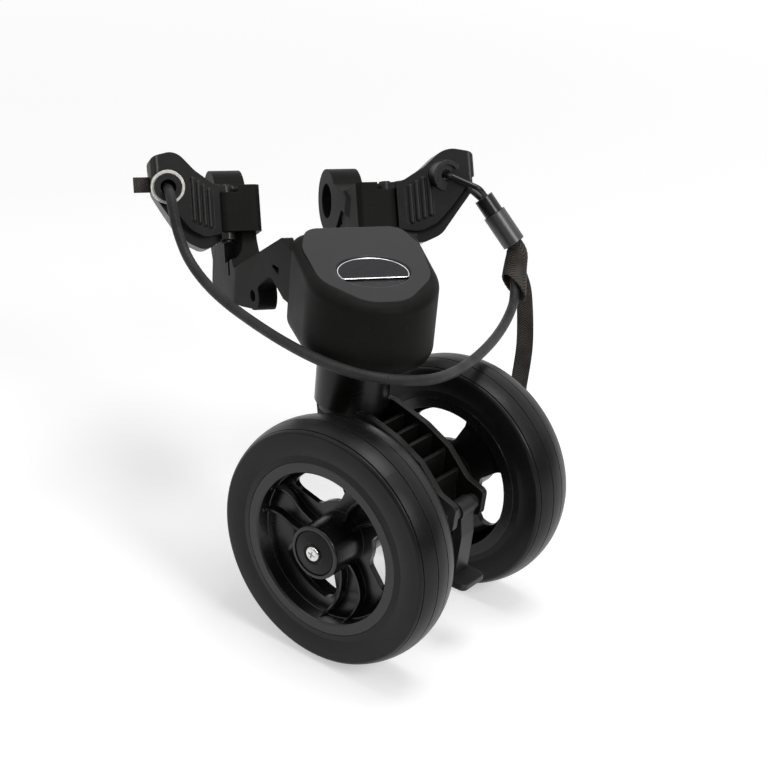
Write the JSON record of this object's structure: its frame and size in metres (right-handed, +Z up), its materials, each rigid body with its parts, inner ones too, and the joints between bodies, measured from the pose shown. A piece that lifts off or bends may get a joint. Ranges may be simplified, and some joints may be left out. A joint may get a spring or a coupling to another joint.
{
  "type": "golf push cart front caster with bag cradle",
  "caption": "Twin-wheel front caster of a golf push cart: rubber-tyred wheels on a trailing leg, a swivel head with pivot cheeks, and two folding cradle arms joined by an elastic cord.",
  "frame": {"origin": "on the axis of the frame pivot bore, midway between the two cheeks", "axes": "+X along the pivot bore to the right seen from the front, +Y to the back of the cart, +Z up; wheels touch the ground at z = -0.251"},
  "size_m": [0.3534, 0.4576, 0.3301],
  "materials": {
    "head_plastic": "fine-grained satin",
    "lid_plastic": "satin",
    "badge_metal": "bright",
    "leg_plastic": "satin",
    "rim_plastic": "semi-gloss",
    "tyre_rubber": "satin",
    "pad_rubber": "satin, ribbed",
    "zinc_steel": "zinc plated",
    "bush_plastic": "natural acetal",
    "cap_plastic": "polished",
    "cord_fabric": "braided",
    "web_fabric": "herringbone webbing",
    "ring_metal": "satin",
    "hook_plastic": "satin"
  },
  "bodies": {
    "head": {"head_housing": "head_plastic", "head_lid": "lid_plastic", "badge_plate": "badge_metal", "swivel_bolt": "zinc_steel", "bolt_washer": "zinc_steel", "swivel_nut": "zinc_steel", "nut_washer": "zinc_steel", "thrust_ring": "bush_plastic", "left_hinge_pin": "zinc_steel", "right_hinge_pin": "zinc_steel", "bungee_left": "cord_fabric", "bungee_right": "cord_fabric"},
    "leg": {"trailing_leg": "leg_plastic", "swivel_bush_lower": "bush_plastic", "swivel_bush_upper": "bush_plastic", "axle": "zinc_steel", "brake_pin": "zinc_steel", "brake_spacers": "bush_plastic", "near_end_cap": "cap_plastic", "near_cap_screw": "zinc_steel", "far_end_cap": "cap_plastic", "far_cap_screw": "zinc_steel"},
    "near_wheel": {"near_tyre": "tyre_rubber", "near_rim": "rim_plastic", "near_hub_bushes": "bush_plastic"},
    "far_wheel": {"far_tyre": "tyre_rubber", "far_rim": "rim_plastic", "far_hub_bushes": "bush_plastic"},
    "pedal": {"brake_pedal": "leg_plastic"},
    "left_cradle_arm": {"left_arm": "head_plastic", "left_arm_pad": "pad_rubber", "left_eye_ring": "ring_metal", "left_grommet": "pad_rubber", "left_strap_stub": "web_fabric", "bungee_knot": "cord_fabric"},
    "right_cradle_arm": {"right_arm": "head_plastic", "right_arm_pad": "pad_rubber", "snap_hook": "hook_plastic", "hook_sleeve": "hook_plastic", "strap_loop": "web_fabric", "strap_tail": "web_fabric"}
  },
  "joints": [
    {"name": "caster_swivel", "type": "hinge", "parent": "head", "child": "leg", "pos_m": [0, -0.247, -0.02], "axis": [0, 0, 1], "continuous": true},
    {"name": "near_wheel_spin", "type": "hinge", "parent": "leg", "child": "near_wheel", "pos_m": [-0.03219, -0.33971, -0.151], "axis": [0.8084, 0.5886, 0], "continuous": true},
    {"name": "far_wheel_spin", "type": "hinge", "parent": "leg", "child": "far_wheel", "pos_m": [0.09812, -0.24483, -0.151], "axis": [0.8084, 0.5886, 0], "continuous": true},
    {"name": "brake_tilt", "type": "hinge", "parent": "leg", "child": "pedal", "pos_m": [0.0671, -0.33916, -0.132], "axis": [0.8084, 0.5886, 0], "range_deg": [-12, 0]},
    {"name": "left_arm_fold", "type": "hinge", "parent": "head", "child": "left_cradle_arm", "pos_m": [-0.072, -0.08028, 0.02095], "axis": [0, 0.5, 0.866], "range_deg": [0, 60], "deforming": ["bungee_left"]},
    {"name": "right_arm_fold", "type": "hinge", "parent": "head", "child": "right_cradle_arm", "pos_m": [0.072, -0.08028, 0.02095], "axis": [0, -0.5, -0.866], "range_deg": [0, 60], "deforming": ["bungee_right"]}
  ]
}
